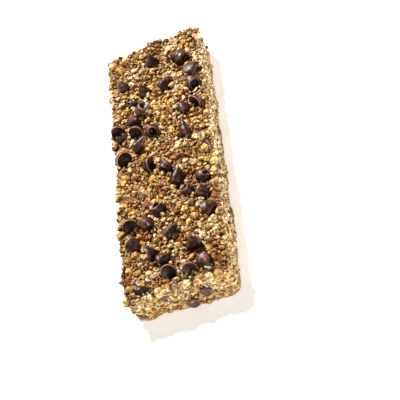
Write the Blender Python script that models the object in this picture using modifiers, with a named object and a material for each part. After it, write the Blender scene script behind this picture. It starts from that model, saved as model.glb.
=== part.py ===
"""A chewy granola bar, pressed flat and cut to size, with small chocolate drops in its top.

Metres, +Z up. The origin is the middle of the flat underside, and the bar's length runs along Y.
The slab is one solid with a lumpy skin. Each chocolate drop is a solid of its own, set in a pocket
that is cut into the slab a little larger than the drop.
"""

import math
from typing import NamedTuple

import bmesh
import bpy
from mathutils import Matrix, Vector, noise

MM = 0.001

# The slab, cut from a pressed sheet
SLAB_LENGTH = 103.0 * MM
SLAB_WIDTH = 32.8 * MM
SLAB_HEIGHT = 11.4 * MM
CORNER_RADIUS = 2.2 * MM
CORNER_STEPS = 4
TOP_EDGE_RADIUS = 1.1 * MM
TOP_EDGE_STEPS = 3
FOOT_EDGE_RADIUS = 0.5 * MM
FOOT_EDGE_STEPS = 2
SKIN_VOXEL = 2.3 * MM

# Its unevenness: bulging clusters of grain, and a slow waviness of the cut sides
CLUSTER_SIZE = 6.4 * MM
CLUSTER_RELIEF_TOP = 0.75 * MM
CLUSTER_RELIEF_SIDE = 0.45 * MM
WAVE_LENGTH = 21 * MM
WAVE_DEPTH = 0.45 * MM
FOOT_BAND = 1.3 * MM
CROWN_STEEPNESS = 2.6
WORN_CORNER_DEPTH = 1.7 * MM
WORN_CORNER_REACH = 11 * MM
WORN_CORNER_START = 3 * MM
WORN_CORNER_SPREAD = 4 * MM
END_SLANT_LEFT = -1.8 * MM
END_SLANT_RIGHT = 0.9 * MM
END_SLANT_REACH = 8 * MM

# The chocolate drops, at size 1
DROP_RADIUS = 2.5 * MM
DROP_HEIGHT = 4.8 * MM
DROP_RIM = 0.3 * MM
DROP_DISH = 0.25 * MM
DROP_FOOT_SHARE = 0.93  # the radius of the foot, as a share of the widest radius
DROP_SWELL = 0.8  # lower is fuller
DROP_SIDES = 8
DROP_BANDS = 4
DROP_SHARP_ANGLE = 50
DROP_CURL = 1.3 * MM
DROP_CURL_FALL = 0.4  # how far a curled tip comes down, as a share of its curl
DROP_MIDDLE = 0.36  # the height a drop is turned about, as a share of its own
HOLLOW_SHARE = 0.55  # how deep a hollow is, as a share of the height of its missing tip
HOLLOW_FLOOR = 1.15 * MM
DROP_RISE = 0.55 * MM
POCKET_GAP = 0.34 * MM
POCKET_TIP_GAP = 0.51 * MM
POCKET_BANDS = 3

ON_PLANE = 0.0001 * MM

# How a drop's tip was left when the nozzle lifted, and the height of a hollow one's lip as a share
STRAIGHT = "straight"
CURLED = "curled"
HOLLOW = "hollow"
BOWL = "bowl"
LIPS = {HOLLOW: 0.66, BOWL: 0.46}


class Drop(NamedTuple):
    """Where one chocolate drop lies, in millimetres and degrees.

    Its tip leans from upright by `lean`, towards `heading`, which is counted from +X round to +Y.
    Its length and its girth are shares of the usual ones. The height of its middle is `z`, or the
    height of the slab's top where none is given.
    """

    x: float
    y: float
    lean: float
    heading: float
    size: float = 1.0
    tip: str = STRAIGHT
    length: float = 1.0
    girth: float = 1.0
    z: float | None = None


DROPS = (
    # Far third of the top
    Drop(-0.5, 41.3, 20, 85, length=1.15),
    Drop(8.1, 39.1, 55, 150, 1.15, CURLED),
    Drop(-11.2, 34.3, 30, 125, 0.9),
    Drop(13.2, 31.5, 60, 25, 1.15, CURLED),
    Drop(3.6, 29.3, 60, 35, length=1.15),
    Drop(-4.2, 28.7, 20, 110, 0.95, length=1.15),
    Drop(-8.7, 24.7, 50, 215, 0.8, HOLLOW),
    Drop(12.8, 24.0, 50, 290, 1.05, BOWL, z=12.4),
    Drop(-4.4, 21.2, 28, 38, 1.15, BOWL, z=12.7),
    # Middle third
    Drop(-7.9, 16.9, 34, 313, 0.92),
    Drop(13.1, 16.8, 107, 47, 0.95),
    Drop(-13.7, 15.1, 105, 97, 0.95),
    Drop(8.4, 15.0, 67, 274, 0.8),
    Drop(-12.9, 11.2, 80, 0, 0.6),
    Drop(-7.4, 12.3, 111, 79, 0.95),
    Drop(-2.0, 9.5, 62, 305, 0.88, BOWL, z=12.4),
    Drop(8.0, 6.5, 50, 90, length=1.35, girth=0.85, z=12.5),
    Drop(-7.1, 5.8, 60, 28, length=1.2, girth=0.7, z=12.4),
    Drop(-13.0, 2.7, 103, 129, 1.05),
    Drop(-5.1, -3.3, 102, 165, 0.95),
    Drop(0.2, -7.3, 55, 240, 0.95, BOWL, z=12.3),
    Drop(4.4, -10.9, 45, 62, 1.05, length=1.1),
    Drop(12.5, -14.3, 50, 334, tip=HOLLOW),
    Drop(6.3, -17.4, 20, 130, 0.88, BOWL, length=1.2, z=12.7),
    Drop(11.3, -19.8, 20, 70, 0.9),
    # Near third
    Drop(-3.1, -21.1, 12, 72, 1.1, HOLLOW),
    Drop(-11.8, -24.3, 111, 93),
    Drop(-6.4, -26.7, 40, 300, 1.05),
    Drop(13.0, -26.9, 67, 14, 1.05),
    Drop(0.6, -31.1, 68, 30, length=1.15, girth=0.85),
    Drop(-11.0, -32.9, 100, 316),
    Drop(-5.9, -37.1, 98, 18, 1.0, CURLED),
    Drop(6.5, -38.3, 91, 216, 1.1),
    Drop(-2.1, -40.1, 58, 15, 0.95, CURLED),
    Drop(-1.2, -45.2, 117, 92),
    Drop(4.5, -46.0, 108, 100, 0.9),
    Drop(9.6, -45.9, 25, 298, 0.95),
    Drop(-10.0, -48.3, 70, 340, 0.95, z=10.7),
    # Sunk in the cut ends and the left side
    Drop(7.3, -50.8, 95, 70, 0.7, z=5.8),
    Drop(2.2, -50.8, 95, 85, 0.7, z=2.5),
    Drop(-4.4, -50.9, 90, 100, 0.5, z=8.2),
    Drop(-14.8, 26.3, 88, 20, 0.85, z=5.6),
    Drop(-14.8, -13.7, 75, 350, 0.8, z=6.0),
    Drop(-4.2, 49.3, 95, 280, 0.85, z=5.2),
    Drop(7.3, 50.0, 80, 262, 0.7, z=6.6),
)


def principled(name: str, colour: tuple, roughness: float) -> bpy.types.Material:
    """A plain material that is not metal."""
    material = bpy.data.materials.new(name)
    material.use_nodes = True
    shader = material.node_tree.nodes["Principled BSDF"]
    shader.inputs["Base Color"].default_value = (*colour, 1.0)
    shader.inputs["Roughness"].default_value = roughness
    shader.inputs["Metallic"].default_value = 0.0
    material.diffuse_color = (*colour, 1.0)
    return material


def new_collection(name: str) -> bpy.types.Collection:
    """A collection straight under the scene."""
    collection = bpy.data.collections.new(name)
    bpy.context.scene.collection.children.link(collection)
    return collection


def clear_scene() -> None:
    """Removes every object that the file already holds."""
    for obj in list(bpy.data.objects):
        bpy.data.objects.remove(obj, do_unlink=True)


def applied(obj: bpy.types.Object, name: str) -> bpy.types.Mesh:
    """The object's mesh with its modifiers worked in. The object itself is removed."""
    bpy.context.view_layer.update()
    graph = bpy.context.evaluated_depsgraph_get()
    mesh = bpy.data.meshes.new_from_object(obj.evaluated_get(graph))
    mesh.name = name
    bpy.data.objects.remove(obj, do_unlink=True)
    return mesh


def share(amount: float) -> float:
    """The amount, held between 0 and 1."""
    return max(0.0, min(1.0, amount))


# --- The slab -------------------------------------------------------------------------------------


def bevel_edges(block: bmesh.types.BMesh, edges: list, radius: float, steps: int) -> None:
    """Rounds the given edges."""
    bmesh.ops.bevel(
        block, geom=edges, offset=radius, segments=steps, profile=0.5, affect="EDGES"
    )


def rounded_block() -> bpy.types.Mesh:
    """The slab before its skin is made lumpy: a block with round corners and worn edges."""
    block = bmesh.new()
    bmesh.ops.create_cube(block, size=1.0)
    bmesh.ops.scale(block, vec=(SLAB_WIDTH, SLAB_LENGTH, SLAB_HEIGHT), verts=block.verts)
    bmesh.ops.translate(block, vec=(0, 0, SLAB_HEIGHT / 2), verts=block.verts)

    upright = [e for e in block.edges if abs(e.verts[0].co.z - e.verts[1].co.z) > SLAB_HEIGHT / 2]
    bevel_edges(block, upright, CORNER_RADIUS, CORNER_STEPS)
    for height, radius, steps in (
        (SLAB_HEIGHT, TOP_EDGE_RADIUS, TOP_EDGE_STEPS),
        (0.0, FOOT_EDGE_RADIUS, FOOT_EDGE_STEPS),
    ):
        rim = [e for e in block.edges if all(abs(v.co.z - height) < ON_PLANE for v in e.verts)]
        bevel_edges(block, rim, radius, steps)

    mesh = bpy.data.meshes.new("slab_block")
    block.to_mesh(mesh)
    block.free()
    return mesh


def cluster_height(point: Vector) -> float:
    """How far a cluster of grain bulges at a point, from -1 in a crease to 1 on a crown."""
    distances, _ = noise.voronoi(point / CLUSTER_SIZE)
    return max(-1.0, 1.0 - CROWN_STEEPNESS * distances[0])


def worn_corner(point: Vector) -> float:
    """How far the far left corner has crumbled back along Y."""
    across = share((-point.x - WORN_CORNER_START) / WORN_CORNER_SPREAD)
    along = share((point.y - SLAB_LENGTH / 2 + WORN_CORNER_REACH) / WORN_CORNER_REACH)
    return WORN_CORNER_DEPTH * across * along


def end_slant(point: Vector) -> float:
    """How far the near end, cut on a slant, stands out at its foot, or in at its top."""
    near = share((-point.y - SLAB_LENGTH / 2 + END_SLANT_REACH) / END_SLANT_REACH)
    leftward = share(0.5 - point.x / SLAB_WIDTH)
    slant = END_SLANT_RIGHT + (END_SLANT_LEFT - END_SLANT_RIGHT) * leftward
    return slant * near * (0.5 - point.z / SLAB_HEIGHT)


def roughen(mesh: bpy.types.Mesh) -> None:
    """Gives the slab its lumpy skin, and leaves its underside flat."""
    skin = bmesh.new()
    skin.from_mesh(mesh)
    skin.normal_update()
    for vertex in skin.verts:
        point = vertex.co.copy()
        normal = vertex.normal.copy()
        up = max(0.0, normal.z)
        relief = CLUSTER_RELIEF_SIDE + (CLUSTER_RELIEF_TOP - CLUSTER_RELIEF_SIDE) * up
        wave = noise.noise(Vector((point.x, point.y, 0)) / WAVE_LENGTH) * WAVE_DEPTH
        vertex.co += normal * (relief * cluster_height(point) + wave)
        vertex.co.y -= worn_corner(point) + end_slant(point)
        if point.z < FOOT_BAND / 2:
            vertex.co.z = 0.0
    underside = [f for f in skin.faces if all(abs(v.co.z) < ON_PLANE for v in f.verts)]
    inner = {e for f in underside for e in f.edges if all(g in underside for g in e.link_faces)}
    bmesh.ops.dissolve_edges(skin, edges=list(inner), use_verts=True)
    skin.to_mesh(mesh)
    skin.free()


def make_slab(parts: bpy.types.Collection, pockets: bpy.types.Collection, oats) -> None:
    """The slab, with a pocket for every drop."""
    block = bpy.data.objects.new("slab_block", rounded_block())
    parts.objects.link(block)
    remesh = block.modifiers.new("even_skin", "REMESH")
    remesh.mode = "VOXEL"
    remesh.voxel_size = SKIN_VOXEL
    remesh.adaptivity = 0.0
    mesh = applied(block, "granola_slab")
    roughen(mesh)

    slab = bpy.data.objects.new("granola_slab", mesh)
    parts.objects.link(slab)
    mesh.materials.append(oats)
    cut = slab.modifiers.new("drop_pockets", "BOOLEAN")
    cut.operation = "DIFFERENCE"
    cut.solver = "EXACT"
    cut.operand_type = "COLLECTION"
    cut.collection = pockets


# --- The chocolate drops --------------------------------------------------------------------------


def drop_outline(tip: str, bands: int, gap: float) -> list:
    """The drop's half outline at +X as (radius, height) pairs, from its top down to its base.

    Its flank swells near the base and draws in to the tip, as a drop of chocolate does where it
    leaves the nozzle. A tip that stayed in the nozzle leaves a lip about a hollow. A pocket is the
    same outline pushed out by a gap, with no hollow.
    """
    lip = LIPS.get(tip, 1.0) * DROP_HEIGHT
    levels = [DROP_RIM + (DROP_HEIGHT - DROP_RIM) * band / bands for band in range(bands)]
    flank = [level for level in reversed(levels) if level < 0.9 * lip]
    if tip not in LIPS:
        outline = [(0.0, DROP_HEIGHT + (POCKET_TIP_GAP if gap else 0.0))]
    else:
        flank.insert(0, lip)
        hollow = max(HOLLOW_FLOOR, lip - HOLLOW_SHARE * (DROP_HEIGHT - lip))
        outline = [(0.0, lip + gap if gap else hollow)]
    for level in flank:
        rise = (level - DROP_RIM) / (DROP_HEIGHT - DROP_RIM)
        swell = (0.5 + 0.5 * math.cos(math.pi * rise)) ** DROP_SWELL
        outline.append((DROP_RADIUS * swell + gap, level + (gap if level == lip else 0.0)))
    if gap:
        outline += [(DROP_RADIUS + gap, -gap), (0.0, -gap)]
    else:
        outline += [(DROP_RADIUS * DROP_FOOT_SHARE, 0.0), (0.0, DROP_DISH)]
    return outline


def turned_drop(name: str, tip: str, bands: int, gap: float) -> bpy.types.Mesh:
    """A drop turned from its outline, with its middle at the origin and its tip up."""
    profile = bpy.data.meshes.new(name)
    outline = drop_outline(tip, bands, gap)
    edges = [(i, i + 1) for i in range(len(outline) - 1)]
    profile.from_pydata([(r, 0.0, z) for r, z in outline], edges, [])
    turned = bpy.data.objects.new(name, profile)
    bpy.context.scene.collection.objects.link(turned)
    screw = turned.modifiers.new("turn", "SCREW")
    screw.axis = "Z"
    screw.angle = math.tau
    screw.steps = DROP_SIDES
    screw.render_steps = DROP_SIDES
    screw.use_merge_vertices = True
    screw.merge_threshold = ON_PLANE
    mesh = applied(turned, name)

    middle = DROP_MIDDLE * DROP_HEIGHT
    for vertex in mesh.vertices:
        if tip == CURLED:
            rise = max(0.0, (vertex.co.z - middle) / (DROP_HEIGHT - middle))
            vertex.co.x += DROP_CURL * rise**2
            vertex.co.z -= DROP_CURL_FALL * DROP_CURL * rise**2
        vertex.co.z -= middle
    return mesh


def drop_place(drop: Drop) -> Matrix:
    """The transform that lays a drop in the slab."""
    lean = math.radians(drop.lean)
    height = SLAB_HEIGHT + DROP_RISE if drop.z is None else drop.z * MM
    place = Matrix.Translation((drop.x * MM, drop.y * MM, height))
    turn = Matrix.Rotation(math.radians(drop.heading), 4, "Z") @ Matrix.Rotation(lean, 4, "Y")
    girth = drop.size * drop.girth
    return place @ turn @ Matrix.Diagonal((girth, girth, drop.size * drop.length, 1.0))


def make_drops(parts: bpy.types.Collection, pockets: bpy.types.Collection, chocolate) -> None:
    """Every chocolate drop, and the cutter that makes its pocket."""
    meshes = {}
    cutters = {}
    for tip in (STRAIGHT, CURLED, HOLLOW, BOWL):
        mesh = turned_drop(f"drop_{tip}", tip, DROP_BANDS, 0.0)
        mesh.materials.append(chocolate)
        mesh.shade_smooth()
        mesh.set_sharp_from_angle(angle=math.radians(DROP_SHARP_ANGLE))
        meshes[tip] = mesh
        cutters[tip] = turned_drop(f"pocket_{tip}", tip, POCKET_BANDS, POCKET_GAP)
    for number, drop in enumerate(DROPS, 1):
        piece = bpy.data.objects.new(f"chocolate_drop_{number:02d}", meshes[drop.tip])
        piece.matrix_world = drop_place(drop)
        parts.objects.link(piece)
        cutter = bpy.data.objects.new(f"pocket_{number:02d}", cutters[drop.tip])
        cutter.matrix_world = drop_place(drop)
        cutter.hide_render = True
        cutter.display_type = "WIRE"
        pockets.objects.link(cutter)


def main() -> None:
    """Builds the bar."""
    clear_scene()
    parts = new_collection("granola_bar")
    pockets = new_collection("cutters")
    oats = principled("baked_oats", (0.46, 0.28, 0.12), 0.75)
    chocolate = principled("chocolate", (0.045, 0.018, 0.012), 0.4)
    make_drops(parts, pockets, chocolate)
    make_slab(parts, pockets, oats)


main()
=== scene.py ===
"""The looks of a chewy granola bar with chocolate drops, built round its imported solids.

Metres, +Z up. The bar lies on its flat underside at z = 0, with its length along Y. A core of grain
bound in syrup carries several kinds of loose grain, packed against one another and sunk in its
skin, and the chocolate drops stand where their solids are.
"""

import logging
import math
from dataclasses import dataclass, field
from enum import Enum
from itertools import product
from typing import Any

import bmesh
import bpy
import numpy as np
from mathutils import Matrix, Vector, noise


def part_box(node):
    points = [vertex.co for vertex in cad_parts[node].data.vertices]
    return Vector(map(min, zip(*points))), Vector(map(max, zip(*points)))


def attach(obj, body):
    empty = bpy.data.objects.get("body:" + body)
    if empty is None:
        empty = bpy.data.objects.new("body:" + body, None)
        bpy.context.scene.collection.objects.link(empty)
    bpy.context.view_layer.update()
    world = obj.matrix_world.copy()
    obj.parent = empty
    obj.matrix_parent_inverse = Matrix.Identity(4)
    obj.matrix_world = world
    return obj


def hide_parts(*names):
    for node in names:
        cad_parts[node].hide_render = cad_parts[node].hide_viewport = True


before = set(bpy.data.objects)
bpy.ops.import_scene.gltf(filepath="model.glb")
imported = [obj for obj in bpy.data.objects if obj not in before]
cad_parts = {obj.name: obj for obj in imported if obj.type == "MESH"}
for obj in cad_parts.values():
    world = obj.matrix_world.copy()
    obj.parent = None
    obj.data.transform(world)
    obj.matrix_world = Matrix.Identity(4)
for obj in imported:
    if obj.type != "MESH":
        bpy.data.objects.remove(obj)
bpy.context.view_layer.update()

MM = 0.001
SEED = 20
BODY = "root"
SLAB_NODE = "granola_slab"
DROP_NODE = "chocolate_drop_{:02d}"
LOG = logging.getLogger("granola_bar")

Tree = bpy.types.NodeTree
Socket = bpy.types.NodeSocket
Colour = tuple[float, float, float, float]


# --- Shared helpers ---


def linear(colour: str) -> Colour:
    """Turns an sRGB hex colour into a linear one.

    Args:
        colour: six hex digits after a hash sign.

    Returns:
        Red, green, blue and an alpha of 1.
    """
    channels = [int(colour[i : i + 2], 16) / 255 for i in (1, 3, 5)]
    curve = [c / 12.92 if c <= 0.04045 else ((c + 0.055) / 1.055) ** 2.4 for c in channels]
    return (*curve, 1.0)


def add_node(
    tree: Tree,
    kind: str,
    settings: dict[str | int, Any] | None = None,
    links: dict[str | int, Socket | Colour] | None = None,
) -> bpy.types.Node:
    """Adds a node with its settings and its links.

    Args:
        tree: the material's node tree.
        kind: the node's type name.
        settings: values by input, by property, or as "stops" for a ramp's colours.
        links: what feeds each input, which is a socket or a plain colour.

    Returns:
        The new node.
    """
    node = tree.nodes.new(kind)
    for name, value in (settings or {}).items():
        if name == "stops":
            elements = node.color_ramp.elements
            while len(elements) < len(value):
                elements.new(1.0)
            for element, (place, colour) in zip(elements, value):
                element.position = place
                element.color = colour
        elif isinstance(name, int) or name in node.inputs:
            node.inputs[name].default_value = value
        else:
            setattr(node, name, value)
    for name, source in (links or {}).items():
        if isinstance(source, Socket):
            tree.links.new(source, node.inputs[name])
        else:
            node.inputs[name].default_value = source
    return node


def even_stops(colours: tuple[str, ...]) -> list[tuple[float, Colour]]:
    """Spreads hex colours evenly over a ramp."""
    last = len(colours) - 1
    return [(i / last, linear(colour)) for i, colour in enumerate(colours)]


def coated(
    tree: Tree,
    under: Socket | Colour,
    coat: Socket | Colour,
    amount: Socket,
    bare: float = 0.0,
    full: float = 1.0,
    most: float = 1.0,
) -> Socket:
    """Lays one colour over another, as far as an amount says.

    Args:
        tree: the material's node tree.
        under: the colour underneath.
        coat: the colour on top.
        amount: what says how much of the coat shows.
        bare: the amount at which none of it shows.
        full: the amount at which the most of it shows.
        most: how much that is.

    Returns:
        The colour that shows.
    """
    limits = {"From Min": bare, "From Max": full, "To Max": most}
    shown = add_node(tree, "ShaderNodeMapRange", limits, {"Value": amount}).outputs["Result"]
    # A mix's colours go by number, because its plain values share their names
    links = {"Factor": shown, 6: under, 7: coat}
    return add_node(tree, "ShaderNodeMix", {"data_type": "RGBA"}, links).outputs[2]


def add_object(name: str, data: bpy.types.ID) -> bpy.types.Object:
    """Adds an object to the scene.

    Args:
        name: its name.
        data: its mesh, its light or its lens.

    Returns:
        The object.
    """
    made = bpy.data.objects.new(name, data)
    bpy.context.scene.collection.objects.link(made)
    return made


def mesh_piece(
    name: str,
    points: np.ndarray,
    faces: np.ndarray,
    material: bpy.types.Material,
    attributes: dict[str, np.ndarray],
) -> bpy.types.Object:
    """Makes a smooth mesh object with attributes on its points.

    Args:
        name: the piece's name.
        points: its points, one row each.
        faces: each face's point numbers, one row each.
        material: its finish.
        attributes: a number for each point, by attribute name.

    Returns:
        The object.
    """
    mesh = bpy.data.meshes.new(name)
    mesh.from_pydata(points.tolist(), [], faces.tolist())
    mesh.shade_smooth()
    for label, values in attributes.items():
        layer = mesh.attributes.new(label, "FLOAT", "POINT")
        layer.data.foreach_set("value", np.asarray(values, np.float32))
    mesh.materials.append(material)
    return add_object(name, mesh)


def mesh_arrays(mesh: bpy.types.Mesh) -> tuple[np.ndarray, np.ndarray, np.ndarray]:
    """Reads a mesh.

    Args:
        mesh: a mesh whose faces all have the same number of corners.

    Returns:
        Its points, its points' normals, and its faces' point numbers.
    """
    points = np.array([vertex.co[:] for vertex in mesh.vertices])
    normals = np.array([vertex.normal[:] for vertex in mesh.vertices])
    return points, normals, np.array([face.vertices[:] for face in mesh.polygons])


def share(amount: float) -> float:
    """The amount, held between 0 and 1."""
    return max(0.0, min(1.0, amount))


# --- Finishes ---


@dataclass(frozen=True)
class Finish:
    """What every finish has: a name, and how its surface throws light back."""

    name: str
    roughness: float = 0.5
    ior: float = 1.45
    specular: float = 0.5

    def start(self, *marks: str) -> tuple[bpy.types.Material, Tree, bpy.types.Node, list[Socket]]:
        """Makes the material with its shader's plain values.

        Args:
            marks: the names of the attributes that the mesh's points are marked with.

        Returns:
            The material, its node tree, its shader node and what its marks say.
        """
        material = bpy.data.materials.new(self.name)
        material.use_nodes = True
        tree = material.node_tree
        shader = tree.nodes["Principled BSDF"]
        shader.inputs["Roughness"].default_value = self.roughness
        shader.inputs["IOR"].default_value = self.ior
        shader.inputs["Specular IOR Level"].default_value = self.specular
        shader.inputs["Metallic"].default_value = 0.0
        read = [add_node(tree, "ShaderNodeAttribute", {"attribute_name": mark}) for mark in marks]
        return material, tree, shader, [node.outputs["Fac"] for node in read]


@dataclass(frozen=True)
class ToastedGrain(Finish):
    """Puffed and rolled grain, toasted in syrup.

    A granule is many crumbs stuck together, so its skin is a crowd of small knobs. Toasting browns
    each knob by a different amount and leaves the tops of some cream, and here and there syrup leaves
    a hard, glossy bead. The creases between the knobs and the pits of the fine bump are painted dark,
    partly for syrup dried there and partly as painted shade, and so is a grain's part under the skin.
    """

    tints: tuple[str, ...] = ("#7A4E22", "#B98C3F", "#E0B768")
    cut_tints: tuple[str, ...] = ("#B88A42", "#ECCC84", "#FFEEC0")
    browned: str = "#763A18"
    cream: str = "#EBDBAE"
    # Dried syrup and painted shade in the knobs' creases and the bump's pits
    crease: str = "#6E3A12"
    # Syrup and painted shade, where a grain lies under the skin and down its creases
    syrup: str = "#2C1206"
    browning: float = 0.6
    creaming: float = 0.6
    creasing: float = 0.85
    soaking: float = 0.92
    dulling: float = 0.12
    glazing: float = 0.18
    specular: float = 0.17
    knob_mm: float = 0.85
    knob_depth_mm: float = 0.26
    cut_crease: str = "#7A461E"
    freckling: float = 0.5
    pit_mm: float = 0.45
    pit_depth_mm: float = 0.14

    def build(self) -> bpy.types.Material:
        """Makes the material.

        Returns:
            The material.
        """
        material, tree, shader, (tint, cut, soak) = self.start("tint", "cut", "soak")
        place = {"Vector": add_node(tree, "ShaderNodeTexCoord").outputs["Object"]}
        pitting = {"Scale": 1 / (self.pit_mm * MM), "Detail": 2.0, "Roughness": 0.6}
        pits = add_node(tree, "ShaderNodeTexNoise", pitting, place).outputs["Fac"]
        knobbing = {"Scale": 1 / (self.knob_mm * MM)}
        knobs = add_node(tree, "ShaderNodeTexVoronoi", knobbing, place).outputs
        chance = add_node(tree, "ShaderNodeSeparateColor", None, {0: knobs["Color"]})
        browns, creams, glosses = chance.outputs
        skin, inside = (
            add_node(tree, "ShaderNodeValToRGB", {"stops": even_stops(tints)}, {"Fac": tint})
            for tints in (self.tints, self.cut_tints)
        )
        colour = coated(tree, skin.outputs["Color"], inside.outputs["Color"], cut)
        crease = coated(tree, linear(self.crease), linear(self.cut_crease), cut)
        # Creases, pits and what lies under the skin are painted dark: dried syrup and painted shade
        for tone, amount, bare, full, most in (
            (linear(self.browned), browns, 0.6, 0.9, self.browning),
            (linear(self.cream), creams, 0.6, 0.95, self.creaming),
            (crease, knobs["Distance"], 0.35, 0.75, self.creasing),
            (crease, pits, 0.52, 0.36, self.freckling),
            (linear(self.syrup), soak, 0.0, 1.0, self.soaking),
        ):
            colour = coated(tree, colour, tone, amount, bare, full, most)
        tree.links.new(colour, shader.inputs["Base Color"])
        falling = {"From Max": 0.8, "To Min": 1.0, "To Max": 0.0}
        crowns = add_node(tree, "ShaderNodeMapRange", falling, {"Value": knobs["Distance"]})
        normal = {}
        for height, depth_mm in (
            (crowns.outputs["Result"], self.knob_depth_mm),
            (pits, self.pit_depth_mm),
        ):
            depth = {"Strength": 1.0, "Distance": depth_mm * MM}
            bump = add_node(tree, "ShaderNodeBump", depth, {"Height": height} | normal)
            normal = {"Normal": bump.outputs["Normal"]}
        tree.links.new(normal["Normal"], shader.inputs["Normal"])
        dull, glossy = self.roughness + self.dulling, self.roughness - self.glazing
        limits = {"From Min": 0.55, "From Max": 0.95, "To Min": dull, "To Max": glossy}
        gloss = add_node(tree, "ShaderNodeMapRange", limits, {"Value": glosses})
        tree.links.new(gloss.outputs["Result"], shader.inputs["Roughness"])
        return material


@dataclass(frozen=True)
class SyrupBinder(Finish):
    """The core: fine grain bound in boiled syrup and cocoa.

    The creases between the grains are painted dark, partly for syrup dried there and partly as
    painted shade, and the grains' own crowns stay golden. A cut face shows the paler inside.
    """

    # Dried syrup and painted shade in the creases between the grains
    crease: str = "#2C1206"
    crowns: tuple[str, ...] = ("#6E421A", "#94622A", "#B48440", "#CFA25C")
    cut_crease: str = "#5A3012"
    cut_crowns: tuple[str, ...] = ("#CBA05E", "#E6C78C", "#F7E7BE", "#DDB877")
    specular: float = 0.12
    pit_mm: float = 0.4
    pit_depth_mm: float = 0.12

    def build(self) -> bpy.types.Material:
        """Makes the material.

        Returns:
            The material.
        """
        material, tree, shader, (tint, crown, cut) = self.start("tint", "crown", "cut")
        skins = []
        # Each skin is painted dark in its creases, for dried syrup and as painted shade
        for crease, crowns in ((self.crease, self.crowns), (self.cut_crease, self.cut_crowns)):
            stops = {"stops": even_stops(crowns)}
            grains = add_node(tree, "ShaderNodeValToRGB", stops, {"Fac": tint})
            skins.append(coated(tree, linear(crease), grains.outputs["Color"], crown))
        tree.links.new(coated(tree, *skins, cut), shader.inputs["Base Color"])
        place = {"Vector": add_node(tree, "ShaderNodeTexCoord").outputs["Object"]}
        pitting = {"Scale": 1 / (self.pit_mm * MM), "Detail": 3.0, "Roughness": 0.65}
        pits = add_node(tree, "ShaderNodeTexNoise", pitting, place).outputs["Fac"]
        depth = {"Strength": 1.0, "Distance": self.pit_depth_mm * MM}
        bump = add_node(tree, "ShaderNodeBump", depth, {"Height": pits})
        tree.links.new(bump.outputs["Normal"], shader.inputs["Normal"])
        return material


@dataclass(frozen=True)
class MouldedChocolate(Finish):
    """Dark chocolate, dropped from a nozzle and set.

    It sets to a satin brown, and a thin bloom of cocoa butter clouds its flanks. Its rims and tips
    are painted paler, partly for rubbing in tumbling and partly as painted highlight, and its hollows
    and its foot are painted nearly black, partly for syrup on them and partly as painted shade.
    """

    roughness: float = 0.4
    ior: float = 1.46
    body: str = "#1E0D08"
    bloom: str = "#5A362A"
    # Pale paint on rims, tips, lips and ridges: rubbing, and painted highlight
    rubbed: str = "#A8786A"
    # Near-black paint in hollows, dishes and at the foot: syrup, and painted shade
    wetted: str = "#140804"
    specular: float = 0.24
    cloud_mm: float = 2.2
    # Its own grain is too fine to show, so it is drawn this coarse
    grain_mm: float = 0.3
    grain_depth_mm: float = 0.03

    def build(self) -> bpy.types.Material:
        """Makes the material.

        Returns:
            The material.
        """
        material, tree, shader, (crest,) = self.start("crest")
        place = {"Vector": add_node(tree, "ShaderNodeTexCoord").outputs["Object"]}
        clouding = {"Scale": 1 / (self.cloud_mm * MM), "Detail": 4.0, "Roughness": 0.6}
        clouds = add_node(tree, "ShaderNodeTexNoise", clouding, place).outputs["Fac"]
        colour = coated(tree, linear(self.body), linear(self.bloom), clouds, 0.42, 0.7)
        # Below 0 the mark paints syrup and painted shade, above 0 rubbing and painted highlight
        for tone, full in ((self.wetted, -1.0), (self.rubbed, 1.0)):
            colour = coated(tree, colour, linear(tone), crest, 0.0, full)
        tree.links.new(colour, shader.inputs["Base Color"])
        graining = {"Scale": 1 / (self.grain_mm * MM), "Detail": 2.0}
        grain = add_node(tree, "ShaderNodeTexNoise", graining, place).outputs["Fac"]
        depth = {"Strength": 1.0, "Distance": self.grain_depth_mm * MM}
        bump = add_node(tree, "ShaderNodeBump", depth, {"Height": grain})
        tree.links.new(bump.outputs["Normal"], shader.inputs["Normal"])
        return material


@dataclass(frozen=True)
class PaintedBoard(Finish):
    """A matt white board lit from below, so that shadows on it stay pale."""

    roughness: float = 0.9
    colour: str = "#F6F4F0"
    glow: float = 0.55

    def build(self) -> bpy.types.Material:
        """Makes the material.

        Returns:
            The material.
        """
        material, _, shader, _ = self.start()
        shader.inputs["Base Color"].default_value = linear(self.colour)
        shader.inputs["Emission Color"].default_value = linear(self.colour)
        shader.inputs["Emission Strength"].default_value = self.glow
        return material


# --- The slab's form ---


class Zone(Enum):
    """Where on the slab a grain lies."""

    TOP = "top"
    SIDE = "side"
    END = "end"
    UNDERSIDE = "underside"


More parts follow.
